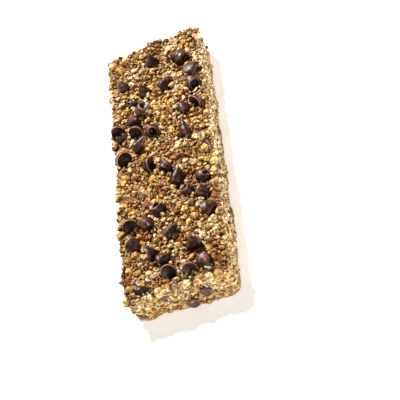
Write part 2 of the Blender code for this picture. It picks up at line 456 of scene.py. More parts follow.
@dataclass(frozen=True)
class SlabForm:
    """The pressed slab's true form, in metres: its sizes and its unevenness."""

    length: float = 103.0 * MM
    width: float = 32.8 * MM
    height: float = 11.4 * MM
    corner_radius: float = 2.2 * MM
    top_edge_radius: float = 1.0 * MM
    foot_edge_radius: float = 0.5 * MM
    cluster_size: float = 6.4 * MM
    cluster_relief_top: float = 0.75 * MM
    cluster_relief_side: float = 0.45 * MM
    crown_steepness: float = 2.6
    wave_length: float = 21 * MM
    wave_depth: float = 0.45 * MM
    worn_corner_depth: float = 1.7 * MM
    worn_corner_reach: float = 11 * MM
    worn_corner_start: float = 3 * MM
    worn_corner_spread: float = 4 * MM
    end_slant_left: float = -1.8 * MM
    end_slant_right: float = 0.9 * MM
    end_slant_reach: float = 8 * MM
    foot_ripple: float = 1.0 * MM
    foot_ripple_length: float = 4.5 * MM
    foot_ripple_bias: float = 0.3

    def block(self, skin: float) -> bpy.types.Mesh:
        """Makes the slab before it is uneven.

        Args:
            skin: the size of its faces, in metres.

        Returns:
            A closed mesh of even squares.
        """
        block = bmesh.new()
        tall = self.height / 2
        size = Vector((self.width, self.length, self.height))
        bmesh.ops.create_cube(block, matrix=Matrix.LocRotScale(Vector((0, 0, tall)), None, size))
        upright = [e for e in block.edges if abs(e.verts[0].co.z - e.verts[1].co.z) > tall]
        bmesh.ops.bevel(
            block, geom=upright, offset=self.corner_radius, segments=6, profile=0.5, affect="EDGES"
        )
        for height, radius in ((self.height, self.top_edge_radius), (0.0, self.foot_edge_radius)):
            rim = [e for e in block.edges if all(abs(v.co.z - height) < 1e-7 for v in e.verts)]
            bmesh.ops.bevel(block, geom=rim, offset=radius, segments=4, profile=0.5, affect="EDGES")
        mesh = bpy.data.meshes.new("slab_block")
        block.to_mesh(mesh)
        block.free()
        return even_skin(mesh, skin)

    def moved(self, point: Vector, normal: Vector) -> Vector:
        """Moves a point of the block to its place on the uneven slab.

        Args:
            point: the point on the block.
            normal: the block's normal there.

        Returns:
            The point's place.
        """
        up = max(0.0, normal.z)
        relief = self.cluster_relief_side
        relief += (self.cluster_relief_top - self.cluster_relief_side) * up
        distances, _ = noise.voronoi(point / self.cluster_size)
        cluster = max(-1.0, 1.0 - self.crown_steepness * distances[0])
        flat_point = Vector((point.x, point.y, 0))
        wave = noise.noise(flat_point / self.wave_length) * self.wave_depth
        place = point + normal * (relief * cluster + wave)
        across = share((-point.x - self.worn_corner_start) / self.worn_corner_spread)
        far = share((point.y - self.length / 2 + self.worn_corner_reach) / self.worn_corner_reach)
        near = share((-point.y - self.length / 2 + self.end_slant_reach) / self.end_slant_reach)
        place.y -= self.worn_corner_depth * across * far
        leftward = share(0.5 - point.x / self.width)
        slant = self.end_slant_right + (self.end_slant_left - self.end_slant_right) * leftward
        place.y -= slant * near * (0.5 - point.z / self.height)
        ripple = noise.noise(Vector((point.x / self.foot_ripple_length, 3.0, 0.0)))
        ripple = (ripple + self.foot_ripple_bias) * share(1 - point.z / self.height)
        place.y += self.foot_ripple * near * ripple
        return place


def even_skin(mesh: bpy.types.Mesh, size: float) -> bpy.types.Mesh:
    """Remakes a closed mesh with a skin of even squares.

    Args:
        mesh: the mesh, which is removed.
        size: the squares' size.

    Returns:
        The new mesh.
    """
    block = add_object("even_skin", mesh)
    remesh = block.modifiers.new("even_skin", "REMESH")
    remesh.mode = "VOXEL"
    remesh.voxel_size = size
    bpy.context.view_layer.update()
    graph = bpy.context.evaluated_depsgraph_get()
    made = bpy.data.meshes.new_from_object(block.evaluated_get(graph))
    bpy.data.objects.remove(block, do_unlink=True)
    bpy.data.meshes.remove(mesh)
    return made


# --- The chocolate drops ---


class Tip(Enum):
    """How a drop's tip was left when the nozzle lifted."""

    STRAIGHT = "straight"
    CURLED = "curled"
    HOLLOW = "hollow"
    BOWL = "bowl"


@dataclass(frozen=True)
class Drop:
    """How one drop lies and was shaped.

    Its lean from upright and its heading are in degrees. Its size, length, girth and swirl are
    shares of the usual ones, and its ridge is a share of its radius.
    """

    lean: float
    heading: float
    size: float = 1.0
    tip: Tip = Tip.STRAIGHT
    length: float = 1.0
    girth: float = 1.0
    ridge: float = 0.08
    swirl: float = 1.0


DROPS = (
    # Far third of the top
    Drop(20, 85, length=1.15, ridge=0.22),
    Drop(55, 150, 1.15, Tip.CURLED, ridge=0.14),
    Drop(30, 125, 0.9, ridge=0.14),
    Drop(60, 25, 1.15, Tip.CURLED, ridge=0.3),
    Drop(60, 35, length=1.15, ridge=0.24),
    Drop(20, 110, 0.95, length=1.15),
    Drop(50, 215, 0.8, Tip.HOLLOW),
    Drop(50, 290, 1.05, Tip.BOWL, swirl=3.0),
    Drop(28, 38, 1.15, Tip.BOWL),
    # Middle third
    Drop(34, 313, 0.92, ridge=0.14),
    Drop(107, 47, 0.95),
    Drop(105, 97, 0.95),
    Drop(67, 274, 0.8, ridge=0.12),
    Drop(80, 0, 0.6),
    Drop(111, 79, 0.95),
    Drop(62, 305, 0.88, Tip.BOWL, swirl=2.5),
    Drop(50, 90, length=1.35, girth=0.85, ridge=0.12),
    Drop(60, 28, length=1.2, girth=0.7, ridge=0.2),
    Drop(103, 129, 1.05),
    Drop(102, 165, 0.95),
    Drop(55, 240, 0.95, Tip.BOWL),
    Drop(45, 62, 1.05, length=1.1, ridge=0.2),
    Drop(50, 334, tip=Tip.HOLLOW),
    Drop(20, 130, 0.88, Tip.BOWL, length=1.2),
    Drop(20, 70, 0.9, ridge=0.26, swirl=2.0),
    # Near third
    Drop(12, 72, 1.1, Tip.HOLLOW, swirl=3.0),
    Drop(111, 93),
    Drop(40, 300, 1.05, ridge=0.16),
    Drop(67, 14, 1.05, ridge=0.16),
    Drop(68, 30, length=1.15, girth=0.85, ridge=0.2),
    Drop(100, 316),
    Drop(98, 18, 1.0, Tip.CURLED),
    Drop(91, 216, 1.1, ridge=0.12),
    Drop(58, 15, 0.95, Tip.CURLED, ridge=0.18),
    Drop(117, 92),
    Drop(108, 100, 0.9),
    Drop(25, 298, 0.95, ridge=0.0, swirl=6.0),
    Drop(70, 340, 0.95, ridge=0.18),
    # Sunk in the cut ends and the left side
    Drop(95, 70, 0.7),
    Drop(95, 85, 0.7),
    Drop(90, 100, 0.5),
    Drop(88, 20, 0.85),
    Drop(75, 350, 0.8),
    Drop(95, 280, 0.85),
    Drop(80, 262, 0.7),
)


@dataclass
class ChocolateDrops:
    """Every chocolate drop, in metres at size 1.

    Leans are in degrees, and a paint of 0 to 1 is how far the chocolate is painted pale, partly for
    rubbing and partly as painted highlight. Shares are of the height, but `foot_share` is of the
    radius and `hollow_share` of what stood over the lip.
    """

    finish: MouldedChocolate = MouldedChocolate("set_dark_chocolate")
    # The form
    radius: float = 2.5 * MM
    height: float = 4.8 * MM
    rim: float = 0.3 * MM
    dish: float = 0.8 * MM
    foot_share: float = 0.93
    swell: float = 0.8
    middle: float = 0.36
    curl: float = 1.5 * MM
    straight_curl: float = 0.25
    curl_fall: float = 0.4
    # The mouth where a tip sank in
    lips: dict[Tip, float] = field(default_factory=lambda: {Tip.HOLLOW: 0.66, Tip.BOWL: 0.46})
    lip_wave: float = 0.07
    lip_tilt: float = 0.14
    hollow_share: float = 0.55
    hollow_floor: float = 1.15 * MM
    # The unevenness
    swirl_depth: float = 0.035
    swirl_turns: float = 3.4
    ridge_twist: float = 0.6
    lump_size: float = 2.4 * MM
    lump_depth: float = 0.3 * MM
    # The pale paint for rubbing and painted highlight, and how high syrup and painted shade darken a
    # drop
    tip_wear: float = 0.8
    tip_share: float = 0.28
    rim_wear: float = 0.75
    rim_clear_lean: float = 70.0
    rim_clear_spread: float = 25.0
    swirl_wear: float = 0.06
    lip_wear: float = 0.5
    lip_share: float = 0.03
    inner_lip_wear: float = 0.7
    hollow_wear_fall: float = 20.0
    cut_wear: float = 0.2
    wet_reach: float = 1.8 * MM
    # The fineness
    sides: int = 28
    bands: int = 22
    band_crowding: float = 0.9
    rounding_rings: int = 4
    foot_rings: int = 4
    # The room kept clear of grain
    reach_share: float = 1.8
    mouth_clear_share: float = 0.4
    bared_foot_lean: float = 100.0
    foot_clear: float = 0.9 * MM
    foot_clear_of_grain: float = 0.7
    foot_clear_of_radius: float = 0.85
    foot_clear_fall: float = 2 * MM
    # Where each drop was placed
    places: list[Matrix] = field(default_factory=list)

    def outline(self, drop: Drop) -> list[tuple[float, float, float]]:
        """Draws a drop's half outline.

        Args:
            drop: how it lies, as only a rim clear of the grain is painted pale, for rubbing and
                highlight.

        Returns:
            Rings from the tip to the middle of the dished foot: the radius, the height, and the paint
            there:
            above 0 pale for rubbing and painted highlight, below 0 dark for syrup and painted shade.
        """
        rings = []
        for band in range(1, self.bands + 1):
            rise = 1.0 - (band / self.bands) ** self.band_crowding
            swell = (0.5 + 0.5 * math.cos(math.pi * rise)) ** self.swell
            height = self.rim + (self.height - self.rim) * rise
            # The tip is painted pale, for rubbing and as painted highlight
            rubbed = self.tip_wear * max(0.0, rise - 1 + self.tip_share) / self.tip_share
            rings.append((self.radius * swell, height, rubbed))
        clear = share((drop.lean - self.rim_clear_lean) / self.rim_clear_spread)
        for step in range(1, self.rounding_rings + 1):
            turn = math.pi / 2 * step / self.rounding_rings
            inset = self.radius * (1 - self.foot_share) * (1 - math.cos(turn))
            # A rim clear of the grain is painted pale, for rubbing and as painted highlight
            rubbed = self.rim_wear * math.sin(2 * turn) * clear
            rings.append((self.radius - inset, self.rim * (1 - math.sin(turn)), rubbed))
        for step in range(1, self.foot_rings + 1):
            inward = 1 - step / (self.foot_rings + 1)
            foot = self.radius * self.foot_share * inward
            # The dished foot is painted nearly black, for syrup and as painted shade
            rings.append((foot, self.dish * (1 - inward**2), -1.0))
        return rings

    def shape(self, drop: Drop, number: int) -> tuple[np.ndarray, np.ndarray, np.ndarray]:
        """Turns one drop about its axis, with its own unevenness.

        Args:
            drop: how it lies and was shaped.
            number: its number, which seeds its unevenness.

        Returns:
            Its points before it is placed, its faces, and each point's painted rubbing, highlight and
            shade.
        """
        rings = self.outline(drop)
        shift = Vector((number * 7.3, number * 3.1, 0))
        points, rubbed = [], []
        for radius, height, ring_rub_and_light in [(0.0, self.height * 1.02, 1.0), *rings, (0.0, self.dish, -1.0)]:
            rise = height / self.height
            flank = share(4 * rise) * share(3 - 3 * rise)
            for side in range(self.sides if radius > 0 else 1):
                angle = math.tau * side / self.sides
                swirl = math.sin(math.tau * self.swirl_turns * rise + angle + number)
                ridge = abs(math.sin(1.5 * (angle + number + self.ridge_twist * rise)))
                reach = 1 + self.swirl_depth * drop.swirl * swirl * flank
                reach *= (1 - drop.ridge * ridge * share(3 * rise)) * radius
                # Swirl ridges are painted pale, for rubbing and as painted highlight
                point_rub_and_light = self.swirl_wear * (drop.swirl - 1) * share(2 * swirl - 1) * flank
                point_rub_and_light = max(ring_rub_and_light, point_rub_and_light)
                point = Vector((reach * math.cos(angle), reach * math.sin(angle), height))
                lump = 1 + self.lump_depth / self.radius * noise.noise(point / self.lump_size + shift)
                point.xy *= lump
                lip = self.lips.get(drop.tip, 2.0) * self.height
                lip *= 1 + self.lip_wave * math.sin(2 * angle + number)
                lip *= 1 + self.lip_tilt * math.sin(angle + 2 * number)
                if height > lip:
                    over = height - lip
                    # Inside a hollow the paint runs from a painted highlight under the lip to painted
                    # shade deeper in
                    point_rub_and_light = self.inner_lip_wear - self.hollow_wear_fall * over / self.height
                    point_rub_and_light = max(-1.0, point_rub_and_light)
                    point.z = max(lip - self.hollow_share * over, self.hollow_floor)
                elif height > lip - self.lip_share * self.height:
                    # The lip is painted pale, for rubbing and as painted highlight
                    point_rub_and_light = self.lip_wear
                points.append(self.bent(point, drop))
                rubbed.append(point_rub_and_light)
        last = len(points) - 1
        faces = []
        for side in range(self.sides):
            following = (side + 1) % self.sides
            faces.append((0, 1 + side, 1 + following))
            for ring in range(len(rings) - 1):
                a = 1 + ring * self.sides
                b = a + self.sides
                faces.append((a + side, b + side, b + following))
                faces.append((a + side, b + following, a + following))
            a = 1 + (len(rings) - 1) * self.sides
            faces.append((a + side, last, a + following))
        return np.array([tuple(p) for p in points]), np.array(faces), np.array(rubbed)

    def bent(self, point: Vector, drop: Drop) -> Vector:
        """Bends a drop's tip over.

        Args:
            point: a point of the upright drop.
            drop: how it was shaped.

        Returns:
            The point's place about the drop's middle.
        """
        pivot = self.middle * self.height
        rise = max(0.0, (point.z - pivot) / (self.height - pivot))
        bend = self.curl * (1.0 if drop.tip is Tip.CURLED else self.straight_curl) * rise**2
        return Vector((point.x + bend, point.y, point.z - self.curl_fall * bend - pivot))

    def place(self, drop: Drop, number: int, points: np.ndarray) -> Matrix:
        """Finds where a drop's solid is.

        Args:
            drop: how it lies and was shaped.
            number: its number.
            points: its points before it is placed.

        Returns:
            The transform that lays the drop in its solid's place.
        """
        girth = drop.size * drop.girth
        turn = Matrix.Rotation(math.radians(drop.heading), 4, "Z")
        turn = turn @ Matrix.Rotation(math.radians(drop.lean), 4, "Y")
        turn = turn @ Matrix.Diagonal((girth, girth, drop.size * drop.length, 1.0))
        turned = points @ np.array(turn.to_3x3()).T
        middle = Vector((turned.min(0) + turned.max(0)) / 2)
        low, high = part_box(DROP_NODE.format(number))
        return Matrix.Translation((low + high) / 2 - middle) @ turn

    def build(self) -> bpy.types.Object:
        """Makes every drop as one piece.

        Returns:
            The piece, riding on the bar in place of the drops' solids.
        """
        all_points, all_faces, all_rub_and_light = [], [], []
        top = SlabForm.height
        count = 0
        for number, drop in enumerate(DROPS, 1):
            points, faces, rubbed = self.shape(drop, number)
            place = self.place(drop, number, points)
            self.places.append(place)
            matrix = np.array(place)
            placed = points @ matrix[:3, :3].T + matrix[:3, 3]
            # Near the slab's top a drop is painted darker, for syrup and as painted shade
            foot_syrup_and_shade = np.clip((top + self.wet_reach - placed[:, 2]) / self.wet_reach, 0, 1)
            all_points.append(placed)
            all_faces.append(faces + count)
            if place.translation.z > 0.8 * top:
                all_rub_and_light.append(rubbed - foot_syrup_and_shade * (rubbed < 0.5))
            else:
                all_rub_and_light.append(np.maximum(rubbed, self.cut_wear))
            count += len(points)
        points, faces, crest = map(np.concatenate, (all_points, all_faces, all_rub_and_light))
        piece = mesh_piece("chocolate_drops", points, faces, self.finish.build(), {"crest": crest})
        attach(piece, BODY)
        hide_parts(*(DROP_NODE.format(n) for n in range(1, len(DROPS) + 1)))
        return piece

    def holds(self, point: Vector, radius: float, clear: float) -> bool:
        """Says whether a grain there would sit in a drop or hide its dished foot.

        Args:
            point: the grain's middle.
            radius: its radius.
            clear: the share of its radius that its middle keeps from a drop.

        Returns:
            True if it would.
        """
        for place, drop in zip(self.places, DROPS):
            if (place.translation - point).length > self.reach_share * self.height:
                continue
            local = place.inverted() @ point
            height = local.z + self.middle * self.height
            rise = height / self.height
            across = math.hypot(local.x, local.y)
            lip = self.lips.get(drop.tip, 1.0)
            if 0 <= rise <= (1.0 if lip == 1.0 else lip + self.mouth_clear_share):
                swell = (0.5 + 0.5 * math.cos(math.pi * min(rise, lip))) ** self.swell
                if across < self.radius * swell + clear * radius:
                    return True
            before = -self.foot_clear - self.foot_clear_of_grain * radius < height < 0
            beside = across > self.foot_clear_of_radius * self.radius
            beneath = point.z < place.translation.z - self.foot_clear_fall
            if drop.lean > self.bared_foot_lean and before and not beside and not beneath:
                return True
        return False


# --- The core ---


@dataclass
class SlabCore:
    """The slab's core: fine grain bound in syrup, under the loose grain. Metres."""

    form: SlabForm = SlabForm()
    finish: SyrupBinder = SyrupBinder("grain_bound_in_syrup", roughness=0.55)
    skin: float = 0.4 * MM
    inset: float = 0.4 * MM
    granule: float = 2.0 * MM
    granule_depth: float = 0.7 * MM
    crumb: float = 0.95 * MM
    crumb_depth: float = 0.3 * MM
    deepest: float = 1.6 * MM
    underside_depth: float = 0.35 * MM
    cut_depth_share: float = 0.75
    steepness: float = 1.35
    granule_share: float = 0.7
    crown_sharpness: float = 1.9
    crown_start: float = 0.75
    cut_sharpness: float = 2.2
    cut_start: float = 1.75
    top_tilt: float = 0.6
    underside_tilt: float = -0.5
    points: np.ndarray | None = None
    normals: np.ndarray | None = None

    def surface(self) -> tuple[np.ndarray, np.ndarray, np.ndarray]:
        """Makes the uneven slab before its fine relief.

        Returns:
            Its points, normals and faces.
        """
        mesh = self.form.block(self.skin)
        points, normals, faces = mesh_arrays(mesh)
        moved = [self.form.moved(Vector(p), Vector(n)) for p, n in zip(points, normals)]
        mesh.vertices.foreach_set("co", np.array([tuple(p) for p in moved]).ravel())
        mesh.update()
        points, normals, faces = mesh_arrays(mesh)
        bpy.data.meshes.remove(mesh)
        return points, normals, faces

    def build(self) -> bpy.types.Object:
        """Makes the core with its fine relief.

        Returns:
            The piece, riding on the bar in place of the slab's solid.
        """
        self.points, self.normals, faces = self.surface()
        count = len(self.points)
        tint, crown, cut = np.zeros(count), np.zeros(count), np.zeros(count)
        skin = np.empty((count, 3))
        crumb_share = 1 - self.granule_share
        for i in range(count):
            point, normal = Vector(self.points[i]), Vector(self.normals[i])
            cut[i] = self.cut_share(normal)
            near, cells = noise.voronoi(point / self.granule)
            granule = 1.0 - (self.steepness * near[0]) ** 2
            small, _ = noise.voronoi(point / self.crumb + Vector((5, 5, 5)))
            crumb = 1.0 - (self.steepness * small[0]) ** 2
            height = share(0.5 + 0.5 * granule) * self.granule_share
            height += share(0.5 + 0.5 * crumb) * crumb_share
            # Low places take the crease colour: dried syrup and painted shade
            crown[i] = share(self.crown_sharpness * height - self.crown_start)
            tint[i] = noise.cell(cells[0] * 31.0) * self.granule_share
            tint[i] += noise.cell(point / self.crumb) * crumb_share
            granule_depth = self.granule_depth * (1 - (1 - self.cut_depth_share) * cut[i])
            depth = self.inset + granule_depth * (1 - granule) / 2
            depth += self.crumb_depth * (1 - crumb) / 2
            if normal.z < self.underside_tilt:
                depth = self.underside_depth * (1 - share(height * 1.4))
                crown[i] = share(height * 1.6)
            skin[i] = point - normal * min(depth, self.deepest)
        skin[:, 2] = np.maximum(skin[:, 2], 0.0)
        attributes = {"tint": tint, "crown": crown, "cut": cut}
        piece = mesh_piece("syrup_core", skin, faces, self.finish.build(), attributes)
        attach(piece, BODY)
        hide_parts(SLAB_NODE)
        return piece

    def cut_share(self, normal: Vector) -> float:
        """Says how far a normal faces as a cut face does.

        Args:
            normal: the skin's normal.

        Returns:
            From 0 on the top and the underside to 1 on a side or an end.
        """
        if normal.z < self.underside_tilt:
            return 0.0
        return share(self.cut_start - self.cut_sharpness * max(0.0, normal.z))

    def zone(self, normal: Vector) -> Zone:
        """Finds the zone that a normal faces.

        Args:
            normal: the skin's normal.

        Returns:
            The zone.
        """
        if normal.z > self.top_tilt:
            return Zone.TOP
        if normal.z < self.underside_tilt:
            return Zone.UNDERSIDE
        return Zone.SIDE if abs(normal.x) > abs(normal.y) else Zone.END


# --- The loose grain ---


class GrainShape(Enum):
    """The kinds of shape that grain takes."""

    PUFFED = "puffed"
    CLUSTER = "cluster"
    CRUMB = "crumb"
    FLAKE = "flake"
    SLIVER = "sliver"


@dataclass(frozen=True)
class GrainKind:
    """One kind of loose grain.

    Sizes, the smallest and the largest, are in metres. Counts are for the top, the sides and the
    ends. `sunk` is the share of its radius that its middle lies under the skin, and `proud` how far
    it stands out of the pressed top before it is flattened. `clear` is the share of its radius that
    it keeps between its middle and a drop. `drifts` is how strongly it keeps to its own patches.
    """

    name: str
    shape: GrainShape
    finish: ToastedGrain | MouldedChocolate
    sizes: tuple[float, float]
    counts: tuple[int, int, int]
    fineness: int = 3
    variants: int = 14
    sunk: float = 0.1
    proud: float = 1.0 * MM
    lying: bool = False
    spacing: float = 0.8
    clear: float = -0.35
    drifts: float = 0.0
    slot: str = "baked_oats"


@dataclass
class GrainShaper:
    """Makes the shapes of single grains, about 1 in radius, by a method named for each shape.

    Each grain draws its own `shift`, which is its place in the noise, and the ways out to its bumps.
    """

    rng: np.random.Generator
    knob: float = 0.4
    knob_out: float = 0.55
    shift: Vector = field(default_factory=Vector)
    bumps: list[Vector] = field(default_factory=list)

    def variant(self, kind: GrainKind) -> tuple[np.ndarray, np.ndarray, np.ndarray]:
        """Makes one grain of a kind.

        Args:
            kind: the kind of grain.

        Returns:
            Its points, its faces, and how far each point is down a crease.
        """
        ball = bmesh.new()
        bmesh.ops.create_icosphere(ball, subdivisions=kind.fineness, radius=1.0)
        faces = np.array([[v.index for v in f.verts] for f in ball.faces])
        away = [v.co.normalized() for v in ball.verts]
        ball.free()
        self.shift = Vector(self.rng.uniform(-50, 50, 3))
        self.bumps = [Vector(b).normalized() for b in self.rng.normal(size=(14, 3))]
        grown = list(map(getattr(self, kind.shape.value), away))
        points = np.array([tuple(point) for point, _ in grown])
        return points, faces, np.array([crease for _, crease in grown])

    def puffed(self, away: Vector) -> tuple[Vector, float]:
        """Makes a puffed crisp: round, with a crinkled skin and a few dents.

        Args:
            away: the way out from its middle.

        Returns:
            Its skin's point that way, and how far that is down a crease.
        """
        reach = 1 + 0.14 * noise.noise(away * 1.3 + self.shift)
        reach -= 0.16 * abs(noise.noise(away * 2.6 + self.shift))
        reach += 0.07 * noise.noise(away * 5 + self.shift)
        for bump in self.bumps[:4]:
            reach -= 0.2 * math.exp(-((away.angle(bump) / 0.36) ** 2))
        crease = share((0.92 - reach) * 3.5)
        return away * Vector((1, 0.92, 0.8)) * reach, crease

    def cluster(self, away: Vector) -> tuple[Vector, float]:
        """Makes a granule: knobs stuck together in a ball.

        Args:
            away: the way out from its middle.

        Returns:
            Its skin's point that way, and how far that is down a crease.
        """
        reach = 0.6
        for turn, bump in enumerate(self.bumps[:12]):
            knob = self.knob + 0.07 * (turn % 3 - 1)
            along = away.dot(bump)
            inside = knob**2 - self.knob_out**2 * (1 - along**2)
            if along > 0 and inside > 0:
                reach = max(reach, self.knob_out * along + math.sqrt(inside))
        crease = share((0.93 - reach) * 3.5)
        reach += 0.1 * noise.noise(away * 4 + self.shift) + 0.2 * noise.noise(away * 1.1 + self.shift)
        return away * Vector((1.08, 0.92, 0.84)) * reach, crease

    def crumb(self, away: Vector) -> tuple[Vector, float]:
        """Makes a crumb: broken off at a few flat places.

        Args:
            away: the way out from its middle.

        Returns:
            Its skin's point that way, and how far that is down a crease.
        """
        reach = 0.95 + 0.35 * noise.noise(away * 1.7 + self.shift)
        for bump in self.bumps[:4]:
            facing = away.dot(bump)
            if facing > 0.2:
                reach = min(reach, 0.62 / facing)
        return away * Vector((1.15, 0.9, 0.75)) * reach, 0.0

    def flake(self, away: Vector) -> tuple[Vector, float]:
        """Makes a rolled oat: a thin oval with a crease along it and wavy edges.

        Args:
            away: the way out from its middle.

        Returns:
            Its skin's point that way, and how far that is down a crease.
        """
        reach = 1 + 0.12 * noise.noise(away * 1.6 + self.shift)
        crease = 0.07 * math.exp(-((away.y / 0.16) ** 2))
        lift = 0.22 * noise.noise(Vector((away.x, away.y, 0)) * 1.1 + self.shift)
        lift += 0.14 * away.x * away.x
        thick = 0.17 * away.z - (crease if away.z > 0 else 0.0)
        return Vector((away.x * reach, away.y * reach * 0.7, thick + lift)), crease * 5

    def sliver(self, away: Vector) -> tuple[Vector, float]:
        """Makes a sliver of bran: long, thin and bowed.

        Args:
            away: the way out from its middle.

        Returns:
            Its skin's point that way, and how far that is down a crease.
        """
        bow = 0.3 * away.x * away.x + 0.1 * noise.noise(Vector((away.x, 0, 0)) * 2 + self.shift)
        return Vector((away.x, away.y * 0.24, away.z * 0.12 + bow)), 0.0


@dataclass
class LooseGrain:
    """All the loose grain, packed against one another over the core, in metres.

    Grains are pressed back to `cut_proud` from a cut face, and are painted dark from just above the
    skin down, partly for syrup soaked into them and partly as painted shade. A field named for a fade
    is how fast the tint rises along or across the bar, and one named for a loss is the share of
    itself that something loses on a cut face.
    """

    core: SlabCore
    drops: ChocolateDrops
    kinds: tuple[GrainKind, ...]
    # How it lies
    cell: float = 2.6 * MM
    size_skew: float = 1.4
    patch: float = 8 * MM
    patch_edge: float = -0.12
    pressed: float = 0.2
    cut_from: float = 0.5
    cut_proud: float = 0.4 * MM
    cut_sunk: float = 0.25
    level_scatter: float = 0.3
    lie_scatter: float = 0.28
    lying_sunk: float = 0.8
    lying_proud: float = 0.3
    # How syrup and painted shade darken it
    soak_top: float = 0.1 * MM
    soak_depth: float = 0.8 * MM
    soak_loss: float = 0.7
    crease_soak: float = 0.6
    crease_soak_loss: float = 0.5
    # How its tints run over the bar
    tone_patch: float = 6 * MM
    tone_share: float = 0.95
    fade: float = 2.0
    # Grains along the edge between the top and a cut face are painted paler, as painted highlight
    edge_paleness: float = 0.6
    edge_cut: float = 0.6
    edge_spread: float = 0.4
    cut_paling: float = 0.9
    paling_from: float = 0.35
    cut_fade: float = 20.0
    # The grains placed so far
    taken: dict[tuple[int, int, int], list[tuple[Vector, float]]] = field(default_factory=dict)

    def free(self, point: Vector, radius: float, spacing: float) -> bool:
        """Says whether a grain has room among the grains already placed.

        Args:
            point: its middle.
            radius: its radius.
            spacing: how close two may come, as a share of the sum of their radii.

        Returns:
            True if it has.
        """
        x, y, z = (math.floor(c / self.cell) for c in point)
        for dx, dy, dz in product((-1, 0, 1), repeat=3):
            for other, other_radius in self.taken.get((x + dx, y + dy, z + dz), ()):
                gap = spacing * (radius + other_radius)
                if (other - point).length_squared < gap * gap:
                    return False
        return True

    def take(self, point: Vector, radius: float) -> None:
        """Marks a grain's place as taken."""
        key = tuple(math.floor(c / self.cell) for c in point)
        self.taken.setdefault(key, []).append((point, radius))

    def turn(self, normal: Vector, lying: bool, cut: float, rng: np.random.Generator) -> Matrix:
        """Turns a grain at random, or lays it along its surface.

        Args:
            normal: the surface's normal there.
            lying: whether the grain lies along its surface.
            cut: how far the place belongs to a cut face, where a grain lies level.
            rng: the source of chance.

        Returns:
            The turn, as a 3 by 3 matrix.
        """
        if not lying:
            axis = Vector(rng.normal(size=3)).normalized()
            return Matrix.Rotation(rng.uniform(0, math.tau), 3, axis)
        if cut > self.cut_from:
            aside = rng.normal(0, self.level_scatter), rng.normal(0, self.level_scatter)
            normal = Vector((*aside, 1)).normalized()
        outward = (normal + Vector(rng.normal(0, self.lie_scatter, 3))).normalized()
        level = outward.to_track_quat("Z", "Y").to_matrix()
        return level @ Matrix.Rotation(rng.uniform(0, math.tau), 3, "Z")

    def pressed_back(self, grain: np.ndarray, site: Vector, normal: Vector, proud: float) -> np.ndarray:
        """Presses or cuts back what stands too far out of the skin or past the cut sides.

        Args:
            grain: the grain's points.
            site: the point of the skin that it sits on.
            normal: the skin's normal there.
            proud: how far it may stand out.

        Returns:
            The grain's points, flattened where they stood out further.
        """
        outward = np.array(normal)
        over = np.maximum((grain - np.array(site)) @ outward - proud, 0.0)
        grain = grain - np.outer(over * (1 - self.pressed), outward)
        form = self.core.form
        for axis, reach in ((0, form.width / 2), (1, form.length / 2)):
            past = np.maximum(np.abs(grain[:, axis]) - reach - self.cut_proud, 0.0)
            grain[:, axis] -= np.sign(grain[:, axis]) * past * (1 - self.pressed)
        grain[:, 2] = np.maximum(grain[:, 2], 0.02 * MM)
        return grain

    def middle(self, kind: GrainKind, point: Vector, normal: Vector, radius: float) -> Vector:
        """Finds where the middle of a grain lies under the skin.

        Args:
            kind: its kind.
            point: its place on the skin.
            normal: the skin's normal there.
            radius: its radius.

        Returns:
            Its middle.
        """
        cut = self.core.cut_share(normal)
        sunk = (kind.sunk + self.cut_sunk * cut) * radius + self.core.inset
        if kind.lying and cut > self.cut_from:
            sunk = self.lying_sunk * radius - self.lying_proud * self.cut_proud
        return point - normal * sunk

    def tone(self, point: Vector, cut: float) -> float:
        """How much paler than its kind a grain is at a place, below 0 where it is darker.

        Args:
            point: the place on the skin.
            cut: how far it belongs to a cut face.

        Returns:
            The change in its tint, which runs from 0 to 1.
        """
        patch = self.tone_share * noise.noise(point / self.tone_patch) + self.fade * point.y
        # A painted highlight along the edge between the top and a cut face
        edge = self.edge_paleness * share(1 - abs(cut - self.edge_cut) / self.edge_spread)
        rise = point.z / self.core.form.height - self.paling_from
        return patch * (1 - cut) + edge + cut * (self.cut_paling * rise + self.cut_fade * point.x)

    def scatter(self, kind: GrainKind, rng: np.random.Generator) -> bpy.types.Object:
        """Places one kind of grain and joins it into one piece.

        Args:
            kind: the kind of grain.
            rng: the source of chance.

        Returns:
            The piece, riding on the bar.
        """
        shaper = GrainShaper(rng)
        shapes = [shaper.variant(kind) for _ in range(kind.variants)]
        zones = np.array([self.core.zone(Vector(n)).value for n in self.core.normals])
        smallest, largest = kind.sizes
        points, faces, tints, cuts, soak_and_shade_marks = [], [], [], [], []
        count = 0
        for zone, wanted in zip(Zone, kind.counts):
            left = wanted
            for site in rng.permutation(np.flatnonzero(zones == zone.value)):
                if left == 0:
                    break
                point, normal = Vector(self.core.points[site]), Vector(self.core.normals[site])
                if noise.noise(point / self.patch) * kind.drifts < self.patch_edge:
                    continue
                radius = (smallest + (largest - smallest) * rng.random() ** self.size_skew) / 2
                middle = self.middle(kind, point, normal, radius)
                if not self.free(middle, radius, kind.spacing):
                    continue
                if self.drops.holds(middle, radius, kind.clear):
                    continue
                self.take(middle, radius)
                cut = self.core.cut_share(normal)
                turn = self.turn(normal, kind.lying, cut, rng)
                shape, shape_faces, creases = shapes[rng.integers(len(shapes))]
                grain = shape @ (np.array(turn).T * radius) + np.array(middle)
                proud = kind.proud + (self.cut_proud - kind.proud) * cut
                grain = self.pressed_back(grain, point, normal, proud)
                stands = (grain - np.array(point)) @ np.array(normal)
